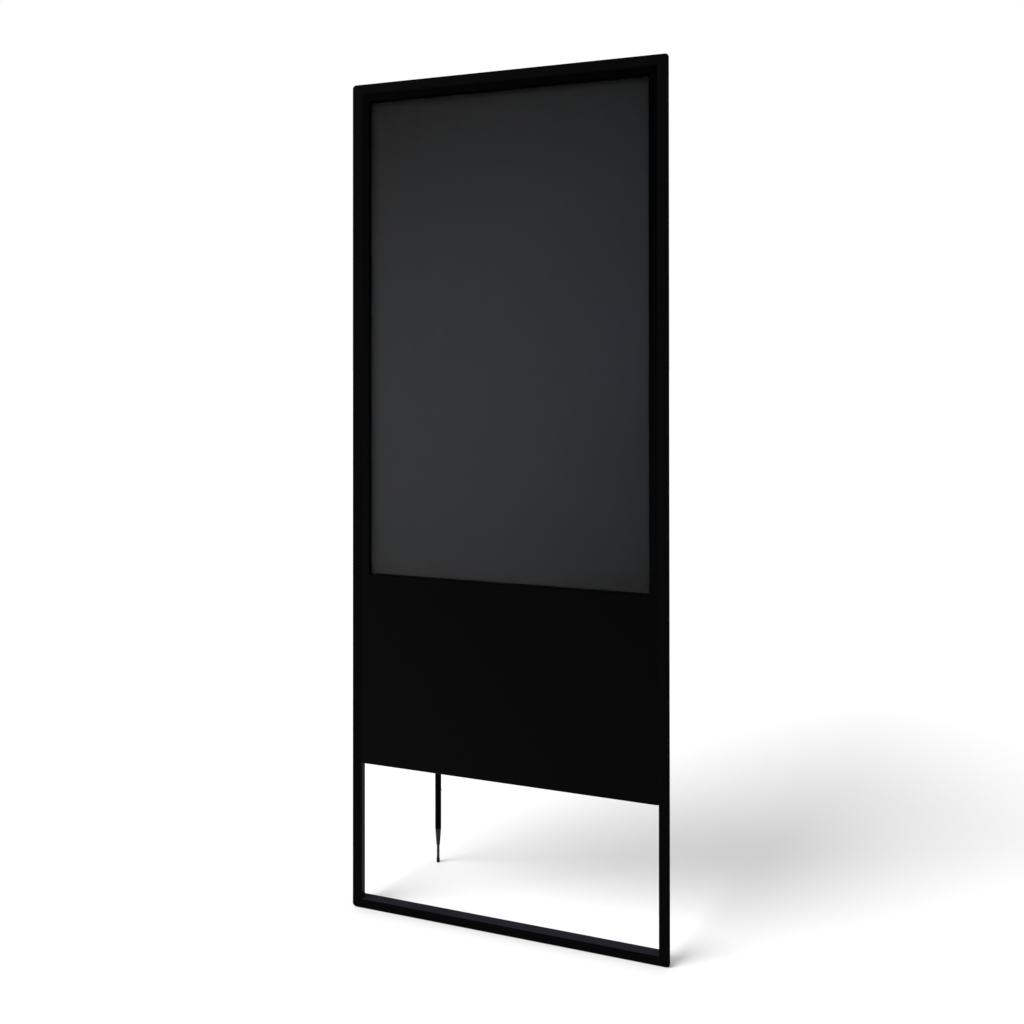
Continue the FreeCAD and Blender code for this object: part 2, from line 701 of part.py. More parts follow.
def lock_set():
    y1 = cabinet_back + door_gap + door_sheet
    body = rod(lock_radius, vec(lock_x, y1 - lock_depth, lock_z), BACK, lock_depth + 0.5)
    body = body.fuse(rod(lock_radius + 2.6, vec(lock_x, y1 + 0.05, lock_z), BACK, 2.0))
    body = body.fuse(rod(lock_radius + 3.5, vec(lock_x, y1 - door_sheet - 3.3, lock_z), BACK, 3.2))
    body = body.cut(rod(plug_radius + run_fit, vec(lock_x, y1 - 20, lock_z), BACK, 30)).removeSplitter()
    plug = rod(plug_radius, vec(lock_x, y1 - lock_depth - 0.2, lock_z), BACK, lock_depth + 2.5)
    plug = plug.fuse(rod(stud_radius, vec(lock_x, y1 - lock_depth - 3.2, lock_z), BACK, 3.5))
    keyway = box(lock_x - 0.6, lock_x + 0.6, y1 - 4, y1 + 5, lock_z - 3.6, lock_z + 3.6)
    plug = plug.cut(keyway).removeSplitter()
    cam_y = y1 - lock_depth - 2.4
    cam = box(lock_x - cam_radius, lock_x + cam_radius, cam_y, cam_y + 2, lock_z - cam_length, lock_z)
    cam = cam.fuse(rod(cam_radius, vec(lock_x, cam_y, lock_z), BACK, 2)).removeSplitter()
    cam = cam.cut(rod(stud_radius + 0.03, vec(lock_x, cam_y - 1, lock_z), BACK, 4))
    return {"lock_body": body, "lock_plug": plug, "lock_cam": cam}


# ---------------------------------------------------------------- rear leg
def place_leg(shape, fold):
    shape = shape.copy()
    if fold:
        shape.rotate(vec(0, 0, 0), RIGHT, math.degrees(lean))
    shape.rotate(vec(0, 0, 0), BACK, math.degrees(splay))
    shape.translate(vec(-pivot_side, pivot_y, pivot_z))
    return shape


def bracket_screw_points():
    points = []
    for dx in (-bracket_screw_side, bracket_screw_side):
        for dz in (-bracket_screw_rise, bracket_screw_rise):
            x = dx * math.cos(splay) + dz * math.sin(splay)
            z = -dx * math.sin(splay) + dz * math.cos(splay)
            points.append((-pivot_side + x, pivot_z + z))
    return points


def leg_bracket():
    inside = head_width / 2.0 + side_fit
    y0 = -pivot_standoff + 0.05
    plate = rounded_box(-bracket_half_width, bracket_half_width, y0, y0 + bracket_plate,
                        -bracket_half_height, bracket_half_height, "y", 4)
    for side in (-1, 1):
        near = side * inside
        far = side * (inside + ear_thickness)
        ear = box(min(near, far), max(near, far), y0 + bracket_plate - 0.5, 0, -11, 11)
        ear = ear.fuse(rod(ear_radius, vec(min(near, far), 0, 0), RIGHT, ear_thickness))
        ear = ear.fuse(box(min(near, far), max(near, far), -2, 0, -ear_radius, ear_radius))
        plate = plate.fuse(ear)
    plate = plate.cut(rod(pin_radius + run_fit, vec(-20, 0, 0), RIGHT, 40))
    bracket = place_leg(plate.removeSplitter(), False)
    for x, z in bracket_screw_points():
        bracket = bracket.cut(screw_hole(x, cabinet_back, z))
    outer = inside + ear_thickness + 0.2
    pin = rod(pin_radius, vec(-outer, 0, 0), RIGHT, 2 * outer)
    pin = pin.fuse(rod(pin_radius + 2, vec(outer, 0, 0), RIGHT, 1.8))
    pin = pin.fuse(rod(pin_radius + 2, vec(-outer - 1.8, 0, 0), RIGHT, 1.8))
    face = cabinet_back + bracket_plate + 0.1
    screws = [screw(x, face, z) for x, z in bracket_screw_points()]
    return {"leg_bracket": bracket, "leg_pin": place_leg(pin.removeSplitter(), False),
            "bracket_screws": Part.makeCompound(screws)}


def leg_parts():
    tube_r = leg_diameter / 2.0
    bore_r = tube_r - leg_wall
    w = head_width / 2.0
    tube_top = -head_neck
    tube_low = -(leg_length - ferrule_top)
    head = rod(head_radius, vec(-w, 0, 0), RIGHT, head_width)
    head = head.fuse(box(-w, w, -tube_r, tube_r, -14, 0))
    head = head.fuse(rod(tube_r, vec(0, 0, tube_top), UP, -tube_top - 13))
    head = head.fuse(rod(bore_r - run_fit, vec(0, 0, tube_top - 22), UP, 24))
    heel = box(-w, w, -pivot_standoff + bracket_plate + 0.15, 3, 3, 14)
    heel.rotate(vec(0, 0, 0), RIGHT, -math.degrees(lean))
    head = head.fuse(heel)
    head = head.cut(rod(pin_radius + run_fit, vec(-20, 0, 0), RIGHT, 40)).removeSplitter()
    tube = rod(tube_r, vec(0, 0, tube_low), UP, tube_top - tube_low)
    tube = tube.cut(rod(bore_r, vec(0, 0, tube_low - 1), UP, tube_top - tube_low + 2))
    clamp_z = -(leg_length - clamp_height)
    tube = tube.cut(rod(clamp_radius + run_fit, vec(0, 0, clamp_z), RIGHT, 20))
    ferrule = Part.makeCone(rod_diameter / 2.0 + 0.9, tube_r, ferrule_top - rod_exposed,
                            vec(0, 0, -(leg_length - rod_exposed)), UP)
    ferrule = ferrule.fuse(rod(bore_r - run_fit, vec(0, 0, tube_low - 1), UP, plug_length + 1))
    ferrule = ferrule.cut(rod(rod_diameter / 2.0 + run_fit, vec(0, 0, -leg_length), UP, 300))
    ferrule = ferrule.removeSplitter()
    shaft = rod(rod_diameter / 2.0, vec(0, 0, -(leg_length - 3.0)), UP, guide_high - 1 - 3.0)
    sleeve_r = bore_r - run_fit
    sleeve = rod(sleeve_r, vec(0, 0, -(leg_length - guide_low)), UP, guide_high - guide_low)
    sleeve = sleeve.cut(rod(rod_diameter / 2.0 + 0.03, vec(0, 0, -leg_length), UP, guide_high - 1 + 0.1))
    tip = rod(tip_diameter / 2.0, vec(0, 0, -leg_length - 6), UP, tip_height + 6)
    tip = tip.cut(rod(rod_diameter / 2.0 + 0.03, vec(0, 0, -(leg_length - 2.9)), UP, 40))
    tip = place_leg(tip, True).cut(box(-300, 300, 0, 400, -40, 0))
    head_start = tube_r + side_fit
    clamp = rod(clamp_radius, vec(sleeve_r + seat_fit, 0, clamp_z), RIGHT, head_start - sleeve_r)
    clamp = clamp.fuse(rod(clamp_head_radius, vec(head_start, 0, clamp_z), RIGHT, clamp_head_height))
    clamp = clamp.removeSplitter()
    reach = clamp_head_radius + 1
    clamp = clamp.cut(box(head_start + clamp_head_height / 2.0, head_start + clamp_head_height + 1,
                          -clamp_slot / 2.0, clamp_slot / 2.0, clamp_z - reach, clamp_z + reach))
    return {"leg_head": place_leg(head, True), "leg_tube": place_leg(tube, True),
            "leg_ferrule": place_leg(ferrule, True), "leg_rod": place_leg(shaft, True),
            "leg_guide": place_leg(sleeve, True), "leg_tip": tip, "clamp_screw": place_leg(clamp, True)}


def build():
    parts = {}
    parts.update(frame_tubes())
    parts.update(cross_rails())
    parts["foot_pads"] = foot_pads()
    parts.update(front_layers())
    parts.update(screen_module())
    parts["screen_mounts"] = screen_mounts()
    parts["rear_cover"] = rear_cover()
    parts["cabinet"] = cabinet()
    parts.update(shell_screws())
    parts.update(equipment())
    parts.update(fan())
    parts.update(speakers())
    parts.update(controls())
    parts.update(door_set())
    parts.update(lock_set())
    parts.update(leg_bracket())
    parts.update(leg_parts())
    return parts


os.makedirs("parts", exist_ok=True)
parts = build()
depth = parts["leg_tip"].BoundBox.YMax
for node in parts:
    shape = parts[node].copy()
    shape.translate(vec(0, -depth / 2.0, 0))
    shape.exportStep("parts/" + node + ".step")
print("nodes", len(parts), "depth", round(depth, 3))
print("leg pivot", round(-pivot_side, 3), round(pivot_y - depth / 2.0, 3), round(pivot_z, 3))
print("leg axis", round(math.cos(splay), 6), 0, round(-math.sin(splay), 6))
print("lean", round(math.degrees(lean), 3))
leg_up = (math.sin(splay) * math.cos(lean), -math.sin(lean), math.cos(splay) * math.cos(lean))
print("leg up", [round(v, 6) for v in leg_up])
print("clamp", [round(v, 3) for v in tuple(parts["clamp_screw"].BoundBox.Center)])
print("door hinge", round(hinge_x, 3), round(hinge_y - depth / 2.0, 3))
print("lock", round(lock_x, 3), round(lock_z, 3))
print("mid y", round(cabinet_mid_y - depth / 2.0, 3), "fan z", round(fan_centre(), 3))
heights = (inlet_centre(), rocker_centre(), button_centre())
print("shell half", shell_half, "inlet/rocker/button z", [round(v, 3) for v in heights])
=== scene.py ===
# %% [markdown]
# # A free-standing touchscreen kiosk
# The kiosk is a tall black frame of steel tube with a portrait screen behind glass, an open window
# below, a flat steel housing behind, and one folding rear leg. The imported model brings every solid
# piece in its true place. This lesson gives each of them a finish and adds the fine pieces.

# %% Load the solid model
import json
import math

import bmesh
import bpy
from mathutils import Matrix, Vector

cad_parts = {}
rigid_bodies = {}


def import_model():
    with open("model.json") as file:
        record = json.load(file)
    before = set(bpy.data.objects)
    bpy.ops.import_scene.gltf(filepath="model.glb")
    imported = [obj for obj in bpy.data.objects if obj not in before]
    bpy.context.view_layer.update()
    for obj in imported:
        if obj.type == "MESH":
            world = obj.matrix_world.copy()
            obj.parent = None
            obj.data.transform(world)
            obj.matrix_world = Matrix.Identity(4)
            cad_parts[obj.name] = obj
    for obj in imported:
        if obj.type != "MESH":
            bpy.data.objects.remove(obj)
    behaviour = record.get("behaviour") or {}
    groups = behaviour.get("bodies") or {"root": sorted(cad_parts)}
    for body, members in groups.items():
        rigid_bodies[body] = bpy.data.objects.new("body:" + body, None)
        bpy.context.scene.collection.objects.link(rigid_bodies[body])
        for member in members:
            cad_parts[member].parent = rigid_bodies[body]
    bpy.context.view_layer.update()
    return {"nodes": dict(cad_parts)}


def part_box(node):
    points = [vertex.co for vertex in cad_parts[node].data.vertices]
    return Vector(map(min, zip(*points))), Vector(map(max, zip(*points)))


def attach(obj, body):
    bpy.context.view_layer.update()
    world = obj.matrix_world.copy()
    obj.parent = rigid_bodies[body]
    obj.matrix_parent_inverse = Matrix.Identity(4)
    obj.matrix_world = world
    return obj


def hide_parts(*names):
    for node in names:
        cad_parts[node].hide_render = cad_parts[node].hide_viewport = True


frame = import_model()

NODES = frame["nodes"]

# %% [markdown]
# ## Camera, light and floor
# A product picture of a tall black object wants an even white room, a pale floor that the shadow can
# fall on, and one large soft lamp high on the left, so that the shadow goes to the right and back.
# A wide "sun" stands for that lamp: its light is as strong everywhere, so the floor stays white up
# to the horizon, and its wide disc gives the soft edge. The camera is all but level, and its lens is
# shifted down and to one side, as on an architect's camera, so that upright edges stay upright.

# %% Camera
FRONT_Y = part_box("left_post")[0].y
LEFT_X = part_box("left_post")[0].x
CAMERA_RIGHT, CAMERA_BACK, CAMERA_HEIGHT = 0.58357, 1.72878, 1.07503
CAMERA_TILT, CAMERA_TURN = math.radians(90.234), math.radians(18.439)

camera_data = bpy.data.cameras.new("kiosk_camera")
camera_data.sensor_width = 36.0
camera_data.lens = 32.003
camera_data.shift_x = 0.1522
camera_data.shift_y = -0.1436
camera = bpy.data.objects.new("kiosk_camera", camera_data)
camera.location = (LEFT_X + CAMERA_RIGHT, FRONT_Y - CAMERA_BACK, CAMERA_HEIGHT)
camera.rotation_euler = (CAMERA_TILT, 0.0, CAMERA_TURN)
bpy.context.scene.collection.objects.link(camera)
bpy.context.scene.camera = camera
bpy.context.scene.view_settings.view_transform = "Standard"
print("camera", tuple(round(v, 3) for v in camera.location))


# %% Studio light
LAMP_TURN, LAMP_RISE = math.radians(226.0), math.radians(37.5)
LAMP_WIDTH, LAMP_STRENGTH = math.radians(34.0), 4.25
to_lamp = Vector((math.cos(LAMP_RISE) * math.cos(LAMP_TURN),
                  math.cos(LAMP_RISE) * math.sin(LAMP_TURN),
                  math.sin(LAMP_RISE)))
lamp_data = bpy.data.lights.new("soft_lamp", "SUN")
lamp_data.angle = LAMP_WIDTH
lamp_data.energy = LAMP_STRENGTH
soft_lamp = bpy.data.objects.new("soft_lamp", lamp_data)
soft_lamp.location = to_lamp * 4.0
soft_lamp.rotation_euler = to_lamp.to_track_quat("Z", "Y").to_euler()
bpy.context.scene.collection.objects.link(soft_lamp)

room = bpy.data.worlds.new("white_room")
room.use_nodes = True
room.node_tree.nodes["Background"].inputs["Color"].default_value = (1.0, 1.0, 1.0, 1.0)
room.node_tree.nodes["Background"].inputs["Strength"].default_value = 1.0
bpy.context.scene.world = room
print("lamp towards", tuple(round(v, 2) for v in to_lamp))


# %% [markdown]
# ## Finishes
# Every finish is a small tree of shader nodes. Two helpers keep them readable. Value wraps a number
# that comes out of a node, so ordinary arithmetic adds Math nodes. Finish owns one material, makes
# nodes, and knows how to join them to the shader. All patterns read Object coordinates, which are
# metres on this model, so a scale of 1000 is one repeat a millimetre.

# %% Arithmetic on node outputs
class Value:
    def __init__(self, finish, socket):
        self.finish, self.socket = finish, socket

    def _join(self, operation, first, second=None, clamp=False):
        node = self.finish.tree.nodes.new("ShaderNodeMath")
        node.operation = operation
        node.use_clamp = clamp
        for slot, item in enumerate((first, second)):
            if isinstance(item, Value):
                self.finish.tree.links.new(item.socket, node.inputs[slot])
            elif item is not None:
                node.inputs[slot].default_value = item
        return Value(self.finish, node.outputs[0])

    def __add__(self, other):
        return self._join("ADD", self, other)

    __radd__ = __add__

    def __sub__(self, other):
        return self._join("SUBTRACT", self, other)

    def __rsub__(self, other):
        return self._join("SUBTRACT", other, self)

    def __mul__(self, other):
        return self._join("MULTIPLY", self, other)

    __rmul__ = __mul__

    def __gt__(self, other):
        return self._join("GREATER_THAN", self, other)

    def __lt__(self, other):
        return self._join("LESS_THAN", self, other)

    def size(self):
        return self._join("ABSOLUTE", self)

    def held(self):
        return self._join("ADD", self, 0.0, clamp=True)

    def power(self, other):
        return self._join("POWER", self, other)

    def wave(self, per_metre):
        return self._join("SINE", self * (2 * math.pi * per_metre), None)


# %% One material and its nodes
class Finish:
    def __init__(self, name, colour, roughness=0.5, **constants):
        self.material = bpy.data.materials.new(name)
        self.material.use_nodes = True
        self.tree = self.material.node_tree
        self.shader = self.tree.nodes["Principled BSDF"]
        self.put("Base Color", colour)
        self.put("Roughness", roughness)
        for label, value in constants.items():
            self.put(label.replace("_", " "), value)
        self.material.diffuse_color = (*colour, 1.0)
        self.place = self.node("ShaderNodeTexCoord", "Object")

    def put(self, label, value):
        socket = self.shader.inputs[label]
        if isinstance(value, Value):
            self.tree.links.new(value.socket, socket)
        elif isinstance(value, (tuple, list)) and len(value) == 3:
            socket.default_value = (*value, 1.0)
        else:
            socket.default_value = value

    def node(self, kind, output, settings=None, **inputs):
        node = self.tree.nodes.new(kind)
        for label, value in (settings or {}).items():
            setattr(node, label, value)
        for label, value in inputs.items():
            socket = node.inputs[label.replace("_", " ")]
            if isinstance(value, Value):
                self.tree.links.new(value.socket, socket)
            else:
                socket.default_value = value
        return Value(self, node.outputs[output])

    def stretched(self, scale):
        return self.node("ShaderNodeMapping", "Vector", Vector=self.place, Scale=scale)

    def noise(self, per_metre, detail=2.0, rough=0.5, vector=None):
        return self.node("ShaderNodeTexNoise", "Fac", Vector=vector or self.place, Scale=per_metre,
                         Detail=detail, Roughness=rough)

    def cells(self, per_metre, output="Distance", feature="F1"):
        return self.node("ShaderNodeTexVoronoi", output, {"feature": feature}, Vector=self.place,
                         Scale=per_metre)

    def axes(self):
        split = self.tree.nodes.new("ShaderNodeSeparateXYZ")
        self.tree.links.new(self.place.socket, split.inputs[0])
        return [Value(self, split.outputs[k]) for k in range(3)]

    def facing(self):
        geometry = self.tree.nodes.new("ShaderNodeNewGeometry")
        split = self.tree.nodes.new("ShaderNodeSeparateXYZ")
        self.tree.links.new(geometry.outputs["Normal"], split.inputs[0])
        return [Value(self, split.outputs[k]) for k in range(3)]

    def blend(self, first, second, share):
        node = self.tree.nodes.new("ShaderNodeMix")
        node.data_type = "RGBA"
        for slot, value in ((0, share), (6, first), (7, second)):
            if isinstance(value, Value):
                self.tree.links.new(value.socket, node.inputs[slot])
            elif isinstance(value, (tuple, list)):
                node.inputs[slot].default_value = (*value[:3], 1.0)
            else:
                node.inputs[slot].default_value = value
        return Value(self, node.outputs[2])

    def bump(self, height, depth, strength=1.0):
        self.put("Normal", self.node("ShaderNodeBump", "Normal", Height=height, Distance=depth,
                                     Strength=strength))


def dress(finish, *nodes):
    for name in nodes:
        mesh = NODES[name].data
        mesh.materials.clear()
        mesh.materials.append(finish.material)
    print(finish.material.name, "on", ", ".join(nodes))


# %% [markdown]
# ### Powder coat
# The frame is sprayed with satin black powder. Baked powder is never quite flat: it has a shallow
# "orange peel" a millimetre or two across. The housing behind has a coarser sanded powder, which
# hides finger marks. Both are black with a little dust on faces that look up: grey dust on the
# housing, and on the frame a bluish colour that is partly dust and partly a painted sheen.

# %% Powder coats
satin_powder = Finish("satin_black_powder", (0.0012, 0.0012, 0.0013), Specular_IOR_Level=0.008)
peel = satin_powder.noise(620.0, 2.0, 0.45)
fine = satin_powder.noise(2600.0, 1.0)
satin_powder.bump(peel + 0.25 * fine, 0.00012, 0.5)
satin_powder.put("Roughness", 0.34 + 0.10 * satin_powder.noise(40.0, 3.0) + 0.04 * fine)
# painted sheen: the frame's up-facing faces get a lighter bluish colour, partly dust and partly a painted
# sheen of the bright room
dust_and_painted_sheen = satin_powder.facing()[2].held() * (0.35 + 0.65 * satin_powder.noise(30.0, 4.0, 0.6))
satin_powder.put("Base Color", satin_powder.blend((0.0011, 0.0011, 0.0012),
                                                  (0.0115, 0.0105, 0.0165), dust_and_painted_sheen))
dress(satin_powder, "left_post", "right_post", "top_rail", "bottom_bar",
      "apron_rail", "screen_rail", "leg_tube")

sanded_powder = Finish("sanded_black_powder", (0.006, 0.006, 0.0062), Specular_IOR_Level=0.24)
grains = sanded_powder.cells(900.0, feature="SMOOTH_F1")
sanded_powder.bump(sanded_powder.noise(1000.0, 3.0, 0.6) + 0.7 * grains, 0.0005, 0.9)
sanded_powder.put("Roughness", 0.52 + 0.16 * sanded_powder.noise(900.0, 2.0))
# on the housing this up-facing colour is warm grey dust
dust_and_painted_sheen = sanded_powder.facing()[2].held() * (0.3 + 0.7 * sanded_powder.noise(24.0, 4.0, 0.6))
mottle = sanded_powder.noise(700.0, 2.0) * 0.6 + sanded_powder.noise(3.0, 4.0, 0.6) * 0.5 - 0.1
clean_black = sanded_powder.blend((0.0035, 0.0035, 0.0037), (0.010, 0.010, 0.0105), mottle)
sanded_powder.put("Base Color", sanded_powder.blend(clean_black, (0.022, 0.021, 0.020), dust_and_painted_sheen * 0.5))
dress(sanded_powder, "rear_cover", "cabinet", "service_door")

carrier_paint = Finish("carrier_black_paint", (0.0014, 0.0014, 0.0014), 0.6, Specular_IOR_Level=0.02)
carrier_paint.bump(carrier_paint.noise(900.0, 2.0), 0.0001, 0.4)
dress(carrier_paint, "carrier_plate", "lcd_bezel")

# %% [markdown]
# ### Printed glass and the switched-off display
# The front is one sheet of glass with a black border printed on its back. Where there is print, the
# glass is an opaque glossy black; over the display it is clear. One material does both: a mask in
# Object coordinates drives Alpha. The display behind is a dark grey anti-glare sheet, with a painted
# reflection in its colour: brighter in the middle and lower left, falling off towards its top and its
# right-hand side, with a painted bluish tint on the right.

# %% Display
display_lo, display_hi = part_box("lcd_cell")
HIDDEN_RIM = 0.0067            # of the cell, under the module's steel edge
VIEW_HALF = display_hi.x - HIDDEN_RIM
VIEW_LOW, VIEW_HIGH = display_lo.z + HIDDEN_RIM, display_hi.z - HIDDEN_RIM
VIEW_MID = (VIEW_LOW + VIEW_HIGH) / 2
VIEW_TALL = (VIEW_HIGH - VIEW_LOW) / 2
print("view", round(2 * VIEW_HALF, 4), round(2 * VIEW_TALL, 4))

display_grey = Finish("display_grey", (0.018, 0.018, 0.019), 0.34, Specular_IOR_Level=0.02)
x, y, z = display_grey.axes()
u = x * (1 / VIEW_HALF)
v = (z - VIEW_MID) * (1 / VIEW_TALL)
# painted reflection: the display's grey is a gradient, brighter in the middle and lower left and darker
# towards the top and right
MIDDLE, TO_RIGHT, TO_TOP = 0.0222, -0.0028, -0.0043
TO_SIDES, TO_ENDS, ACROSS = -0.0024, -0.0077, 0.0029
painted_reflection_level = MIDDLE + TO_RIGHT * u + TO_TOP * v + TO_SIDES * (u * u) + TO_ENDS * (v * v) + ACROSS * (u * v)
grain = display_grey.noise(2400.0, 1.0)
# painted reflection tint: the grey turns bluish towards the right
painted_blue_share = ((0.5 + 0.5 * u) * (1.0 - v * v)).held()
painted_reflection_tint = display_grey.blend((0.98, 1.0, 1.03), (0.84, 1.0, 1.16), painted_blue_share)
display_grey.put("Base Color", display_grey.blend((0.0, 0.0, 0.0), painted_reflection_tint, painted_reflection_level * (0.96 + 0.08 * grain)))
display_grey.bump(grain, 0.00003, 0.35)
display_grey.put("Roughness", 0.30 + 0.08 * grain)
dress(display_grey, "lcd_cell")

# %% Glass
PRINT_LAP = 0.0012             # clear glass past the display's edge
CLEAR, PRINTED = 0.05, 0.95
clear_print = Finish("printed_glass", (0.0025, 0.0026, 0.0027), 0.07, Specular_IOR_Level=0.012)
x, y, z = clear_print.axes()
off_side = (x.size() > VIEW_HALF + PRINT_LAP)
off_end = ((z - VIEW_MID).size() > VIEW_TALL + PRINT_LAP)
printed = (off_side + off_end).held()
clear_print.put("Alpha", CLEAR + PRINTED * printed)
smear = clear_print.noise(6.0, 5.0, 0.62)
touches = (clear_print.noise(34.0, 2.0, 0.5) > 0.62) * (clear_print.noise(420.0, 1.0) * 0.5 + 0.3)
clear_print.put("Roughness", 0.05 + 0.07 * smear + 0.10 * touches)
# painted shade: the printed black is made lighter on the left and darker towards the right and the top
INK, PAINTED_SHADE_TO_RIGHT, PAINTED_SHADE_TO_TOP = 0.00145, -0.0010, -0.00077
ink_and_painted_shade = INK + PAINTED_SHADE_TO_RIGHT * x + PAINTED_SHADE_TO_TOP * z
clear_print.put("Base Color", clear_print.blend((0.0, 0.0, 0.0), (1.0, 1.04, 1.04), ink_and_painted_shade.held()))

edge_glass = Finish("ground_glass_edge", (0.002, 0.0035, 0.0032), 0.35, Specular_IOR_Level=0.06)
edge_glass.bump(edge_glass.noise(900.0, 2.0), 0.00005, 0.5)

film_clear = Finish("clear_film", (0.02, 0.02, 0.02), 0.2, Alpha=0.015, Specular_IOR_Level=0.05)
dress(film_clear, "touch_film")

# %% [markdown]
# ### Metals
# Zinc plate shows a faint spangle, ground steel has long fine scratches, black oxide is a smooth
# dark skin, and satin chrome is soft and bright. Each of them changes roughness more than colour.

# %% Metal finishes
zinc = Finish("zinc_plate", (0.55, 0.56, 0.57), 0.38, Metallic=1.0)
spangle = zinc.cells(110.0, "Color")
facet = zinc.node("ShaderNodeSeparateColor", 0, Color=spangle)
zinc.put("Base Color", zinc.blend((0.42, 0.43, 0.45), (0.62, 0.63, 0.64), facet))
zinc.put("Roughness", 0.28 + 0.2 * facet + 0.08 * zinc.noise(600.0, 2.0))
dress(zinc, "lcd_tray", "screen_mounts", "equipment_plate", "lock_cam")

bright_steel = Finish("ground_steel", (0.56, 0.56, 0.57), 0.3, Metallic=1.0)
scratches = bright_steel.noise(1.0, 4.0, 0.7, bright_steel.stretched((5200.0, 5200.0, 160.0)))
bright_steel.put("Roughness", 0.2 + 0.28 * scratches)
bright_steel.put("Base Color", bright_steel.blend((0.42, 0.42, 0.44), (0.66, 0.66, 0.67), scratches))
bright_steel.bump(scratches, 0.00003, 0.4)
dress(bright_steel, "hinge_pins", "leg_pin", "clamp_screw")

case_steel = Finish("plain_case_steel", (0.5, 0.5, 0.51), 0.34, Metallic=1.0)
rolled = case_steel.noise(1.0, 3.0, 0.6, case_steel.stretched((40.0, 900.0, 2600.0)))
case_steel.put("Roughness", 0.26 + 0.22 * rolled)
case_steel.put("Base Color", case_steel.blend((0.4, 0.41, 0.42), (0.58, 0.58, 0.58), rolled))
dress(case_steel, "power_supply")

black_oxide = Finish("black_oxide", (0.005, 0.005, 0.0055), 0.38, Specular_IOR_Level=0.2)
worn = black_oxide.noise(160.0, 4.0, 0.65)
black_oxide.put("Roughness", 0.28 + 0.24 * worn)
black_oxide.put("Base Color", black_oxide.blend((0.0025, 0.0025, 0.0027), (0.012, 0.012, 0.013),
                                                worn.power(3.0)))
black_oxide.bump(black_oxide.noise(1500.0, 2.0), 0.00004, 0.5)
dress(black_oxide, "hinge_leaves", "door_flaps", "leg_bracket", "leg_head", "leg_rod",
      "speaker_frames")

chrome = Finish("satin_chrome", (0.4, 0.4, 0.41), 0.2, Metallic=1.0)
chrome.put("Roughness", 0.16 + 0.14 * chrome.noise(500.0, 3.0))
dress(chrome, "lock_body", "lock_plug")

contact_brass = Finish("contact_brass", (0.78, 0.62, 0.32), 0.25, Metallic=1.0)
contact_brass.put("Roughness", 0.2 + 0.18 * contact_brass.noise(700.0, 3.0))
dress(contact_brass, "inlet_pins")

anodised = Finish("dark_anodised_case", (0.05, 0.05, 0.053), 0.4, Metallic=0.85)
bead = anodised.noise(2200.0, 2.0)
anodised.put("Roughness", 0.32 + 0.16 * bead)
anodised.bump(bead, 0.00004, 0.6)
dress(anodised, "media_player")

# %% [markdown]
# ### Plastics, rubber, boards
# Moulded plastic carries the tool's spark-eroded texture, rubber is dull with a fine pimple, and a
# circuit board shows its tracks as slightly paler green lines.

# %% Plastic, rubber and board finishes
black_plastic = Finish("moulded_black", (0.005, 0.005, 0.0055), 0.45, Specular_IOR_Level=0.16)
spark = black_plastic.noise(1900.0, 2.0, 0.55)
black_plastic.bump(spark, 0.00007, 0.6)
black_plastic.put("Roughness", 0.38 + 0.18 * spark)
dress(black_plastic, "fan_frame", "fan_rotor", "power_inlet", "rocker_housing", "button_housing",
      "leg_ferrule", "leg_guide")

key_plastic = Finish("rocker_plastic", (0.02, 0.02, 0.021), 0.25, Specular_IOR_Level=0.5)
key_plastic.put("Roughness", 0.2 + 0.14 * key_plastic.noise(300.0, 3.0))
dress(key_plastic, "rocker")

button_plastic = Finish("pale_button", (0.5, 0.51, 0.52), 0.3)
button_plastic.put("Roughness", 0.24 + 0.16 * button_plastic.noise(420.0, 3.0))
button_plastic.bump(button_plastic.noise(1800.0, 1.0), 0.00003, 0.4)
dress(button_plastic, "power_button")

rubber = Finish("black_rubber", (0.0035, 0.0035, 0.0035), 0.75, Specular_IOR_Level=0.06)
rubber.bump(rubber.cells(1300.0), 0.00015, 0.5)
rubber.put("Roughness", 0.68 + 0.2 * rubber.noise(260.0, 3.0))
dress(rubber, "foot_pads", "leg_tip", "glass_tape")

cone_pulp = Finish("pulp_cone", (0.03, 0.03, 0.03), 0.9)
cone_pulp.bump(cone_pulp.noise(1400.0, 4.0, 0.7), 0.0002, 0.8)
dress(cone_pulp, "speaker_cones")

light_plastic = Finish("light_guide_acrylic", (0.75, 0.78, 0.78), 0.12)
light_plastic.put("Roughness", 0.08 + 0.1 * light_plastic.noise(300.0, 2.0))
dress(light_plastic, "light_guide")

board_green = Finish("circuit_board", (0.01, 0.06, 0.025), 0.32)
x, y, z = board_green.axes()
tracks = ((x.wave(230.0) > 0.55) * (board_green.noise(60.0, 1.0) > 0.5)
          + (z.wave(260.0) > 0.6) * (board_green.noise(48.0, 1.0) < 0.48)).held()
board_green.put("Base Color", board_green.blend((0.006, 0.045, 0.018), (0.02, 0.13, 0.055), tracks))
board_green.bump(tracks, 0.00006, 0.5)
dress(board_green, "driver_board", "touch_board")


# %% [markdown]
# ## Making pieces
# Solid pieces are written as lists of corners and faces. A finished piece keeps its object at the
# origin, with its place in its mesh, and rides on the body it belongs to.

